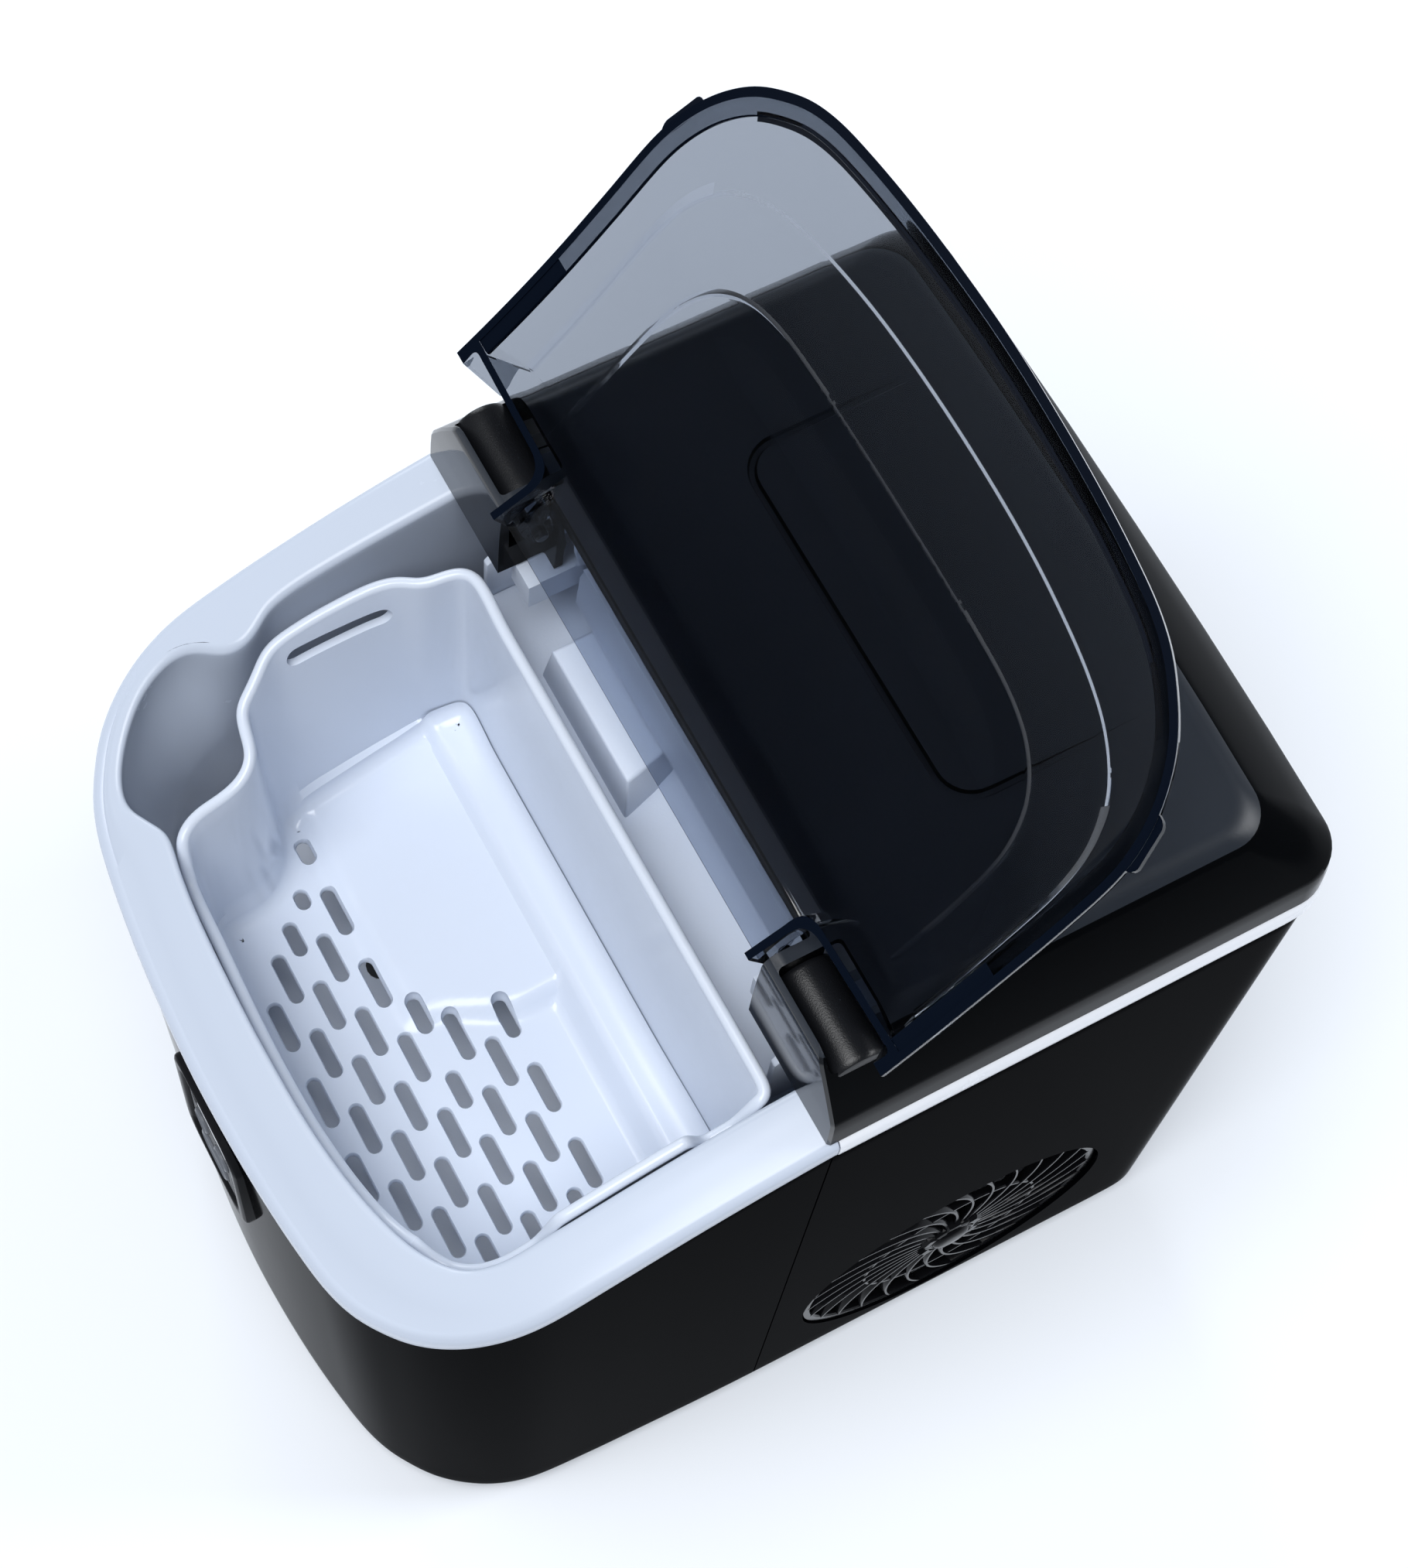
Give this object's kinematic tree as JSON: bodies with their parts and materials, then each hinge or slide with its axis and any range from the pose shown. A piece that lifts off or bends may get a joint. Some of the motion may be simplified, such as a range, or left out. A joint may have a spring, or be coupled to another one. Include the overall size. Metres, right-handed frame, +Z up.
{
  "type": "ice maker",
  "caption": "Countertop ice maker with a hinged see-through lid, lift-out slotted ice basket, sloped front deck, round side fan vent and front control panel.",
  "frame": {"origin": "centre of the bounding box in X and Y, on the floor plane under the feet", "axes": "+Z up, front control panel towards -Y, round side vent on the +X side"},
  "size_m": [0.2228, 0.293, 0.4274],
  "materials": {
    "shell_gloss_black": "high-gloss piano black moulded plastic",
    "base_black": "fine textured black plastic",
    "foot_rubber": "matte black rubber",
    "screw_steel": "zinc-plated steel",
    "deck_white": "glossy bluish white plastic",
    "trim_white": "glossy white plastic",
    "cover_black": "satin black top with gloss black chamfers",
    "lid_smoke": "smoke blue transparent plastic",
    "hinge_black": "black plastic pin",
    "basket_white": "glossy bluish white plastic",
    "evaporator_plated": "nickel-plated fingers",
    "tray_grey": "grey plastic",
    "motor_metal": "plated steel can",
    "inner_white": "white plastic",
    "pusher_grey": "grey plastic",
    "sensor_dark": "dark infrared-pass plastic",
    "compressor_black": "black enamelled steel shell",
    "condenser_aluminium": "bare aluminium fins",
    "bracket_steel": "galvanised sheet",
    "fan_grey": "black-grey plastic blades",
    "shroud_black": "black plastic",
    "vent_dark": "dark gloss plastic with satin metallic highlights",
    "pump_black": "black plastic",
    "tube_silicone": "translucent silicone hose",
    "cap_rubber": "black rubber plug",
    "inlet_black": "black plastic with plated blades",
    "board_green": "green circuit board",
    "bezel_silver": "silver-grey satin",
    "panel_grey": "grey overlay",
    "display_smoke": "dark display window",
    "button_silver": "silver plastic",
    "button_light": "pale grey plastic"
  },
  "bodies": {
    "housing": {"front_shell": "shell_gloss_black", "rear_shell": "shell_gloss_black", "base_pan": "base_black", "foot_front_left": "foot_rubber", "foot_front_right": "foot_rubber", "foot_rear_left": "foot_rubber", "foot_rear_right": "foot_rubber", "base_screw_1": "screw_steel", "base_screw_2": "screw_steel", "base_screw_3": "screw_steel", "base_screw_4": "screw_steel", "deck_and_tank": "deck_white", "rear_trim_band": "trim_white", "rear_cover": "cover_black", "hinge_pin_left": "hinge_black", "hinge_pin_right": "hinge_black", "evaporator": "evaporator_plated", "tray_motor": "motor_metal", "tray_bearing": "inner_white", "ice_chute": "inner_white", "pusher_rail_left": "inner_white", "pusher_rail_right": "inner_white", "ice_sensor_left": "sensor_dark", "ice_sensor_right": "sensor_dark", "compressor": "compressor_black", "condenser": "condenser_aluminium", "fan_motor": "motor_metal", "fan_bracket": "bracket_steel", "fan_shroud": "shroud_black", "side_vent_grille": "vent_dark", "water_pump": "pump_black", "drain_tube": "tube_silicone", "power_inlet": "inlet_black", "control_board": "board_green", "power_board": "board_green", "panel_bezel": "bezel_silver", "panel_face": "panel_grey", "display_window": "display_smoke"},
    "lid": {"lid": "lid_smoke"},
    "ice_basket": {"ice_basket": "basket_white"},
    "ice_pusher": {"ice_pusher": "pusher_grey"},
    "water_tray": {"water_tray": "tray_grey"},
    "fan_impeller": {"fan_impeller": "fan_grey"},
    "power_button": {"power_button": "button_silver"},
    "size_button": {"size_button": "button_silver"},
    "clean_button": {"clean_button": "button_light"},
    "drain_cap": {"drain_cap": "cap_rubber"}
  },
  "joints": [
    {"name": "lid_hinge", "type": "hinge", "parent": "housing", "child": "lid", "pos_m": [0, -0.0053, 0.2934], "axis": [-1, 0, 0], "range_deg": [-149.8, 0]},
    {"name": "basket_lift", "type": "slide", "parent": "housing", "child": "ice_basket", "axis": [0, 0, 1], "range_m": [0, 0.1]},
    {"name": "pusher_slide", "type": "slide", "parent": "housing", "child": "ice_pusher", "axis": [0, -1, 0], "range_m": [0, 0.022]},
    {"name": "tray_tilt", "type": "hinge", "parent": "housing", "child": "water_tray", "pos_m": [0, 0.0439, 0.228], "axis": [1, 0, 0], "range_deg": [0, 60]},
    {"name": "fan_spin", "type": "hinge", "parent": "housing", "child": "fan_impeller", "pos_m": [0.094, 0.0529, 0.069], "axis": [1, 0, 0], "continuous": true},
    {"name": "power_button_press", "type": "slide", "parent": "housing", "child": "power_button", "axis": [0, 1, 0], "range_m": [0, 0.0012], "stiffness_N_per_m": 600},
    {"name": "size_button_press", "type": "slide", "parent": "housing", "child": "size_button", "axis": [0, 1, 0], "range_m": [0, 0.0012], "stiffness_N_per_m": 600},
    {"name": "clean_button_press", "type": "slide", "parent": "housing", "child": "clean_button", "axis": [0, 1, 0], "range_m": [0, 0.0012], "stiffness_N_per_m": 600},
    {"name": "drain_cap_pull", "type": "slide", "parent": "housing", "child": "drain_cap", "axis": [0, 1, 0], "range_m": [0, 0.02]}
  ]
}
